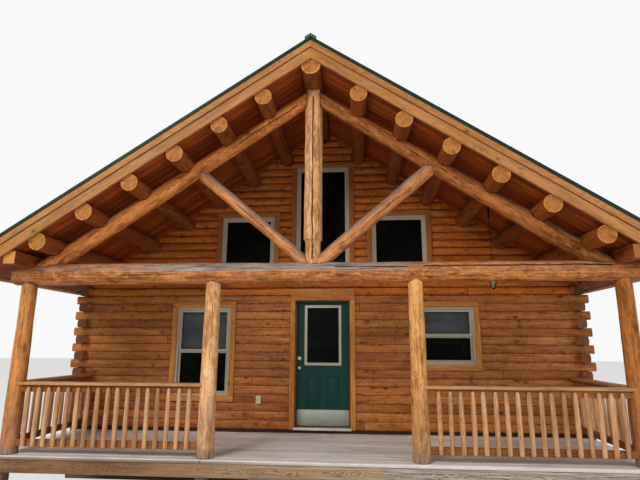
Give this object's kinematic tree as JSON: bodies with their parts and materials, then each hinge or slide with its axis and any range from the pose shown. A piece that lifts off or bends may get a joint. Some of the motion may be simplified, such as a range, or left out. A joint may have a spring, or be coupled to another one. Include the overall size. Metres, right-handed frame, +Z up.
{
  "type": "log cabin",
  "caption": "Log cabin with a full-width front porch, round log truss, green metal gable roof, raised deck with railings, and a front door that opens.",
  "frame": {"origin": "on the ground, under the middle of the whole building, steps and roof overhangs included", "axes": "+X to the right as seen from the front porch, +Y from the porch to the back, +Z up"},
  "size_m": [8.9044, 12.389, 6.301],
  "materials": {
    "dark_glass": "clear, dark inside",
    "dark_timber": "matte stain",
    "deck_boards": "weathered",
    "deck_timber": "weathered",
    "door_paint": "semi-gloss paint",
    "door_trim": "satin stain",
    "floor_boards": "satin",
    "foundation": "rough painted masonry",
    "kick_metal": "dull",
    "knob_metal": "worn",
    "lantern_metal": "dark bronze",
    "log_wall": "satin stain",
    "peeled_log": "satin",
    "railing_wood": "satin",
    "roof_metal": "satin paint",
    "sill_metal": "worn",
    "soffit_boards": "satin stain",
    "trim_boards": "satin stain",
    "window_plastic": "matte"
  },
  "bodies": {
    "house": {"back_gable_wall": "log_wall", "back_rake_boards": "trim_boards", "back_wall": "log_wall", "back_window_casings": "trim_boards", "back_window_frames": "window_plastic", "back_window_glass": "dark_glass", "deck_frame": "deck_timber", "door_casing": "door_trim", "door_frame": "door_trim", "door_threshold": "sill_metal", "eave_boards": "trim_boards", "entry_steps": "deck_timber", "foundation_wall": "foundation", "front_gable_wall": "log_wall", "front_rake_boards": "trim_boards", "front_wall_left": "log_wall", "front_wall_right": "log_wall", "front_window_casings": "trim_boards", "front_window_frames": "window_plastic", "front_window_glass": "dark_glass", "house_floor": "floor_boards", "king_post": "peeled_log", "left_front_railing": "railing_wood", "left_inner_post": "peeled_log", "left_metal_roof": "roof_metal", "left_outer_post": "peeled_log", "left_purlins": "peeled_log", "left_rafter_log": "peeled_log", "left_roof_deck": "soffit_boards", "left_side_railing": "railing_wood", "left_strut": "peeled_log", "left_wall": "log_wall", "outlet_cover": "window_plastic", "porch_deck": "deck_boards", "porch_lantern": "lantern_metal", "porch_piers": "deck_timber", "ridge_cap": "roof_metal", "ridge_log": "peeled_log", "ridge_wedge": "soffit_boards", "right_front_railing": "railing_wood", "right_inner_post": "peeled_log", "right_metal_roof": "roof_metal", "right_outer_post": "peeled_log", "right_purlins": "peeled_log", "right_rafter_log": "peeled_log", "right_roof_deck": "soffit_boards", "right_side_railing": "railing_wood", "right_strut": "peeled_log", "right_wall": "log_wall", "side_window_casings": "trim_boards", "side_window_frames": "window_plastic", "side_window_glass": "dark_glass", "sill_beam": "dark_timber", "tie_beam": "peeled_log"},
    "door": {"front_door": "door_paint", "door_glass_frame": "window_plastic", "door_glass": "dark_glass", "kick_plate": "kick_metal", "door_knobs": "knob_metal"}
  },
  "joints": [
    {"name": "front_door_hinge", "type": "hinge", "parent": "house", "child": "door", "pos_m": [0.4595, -3.235, 1.869], "axis": [0, 0, -1], "range_deg": [0, 105]}
  ]
}
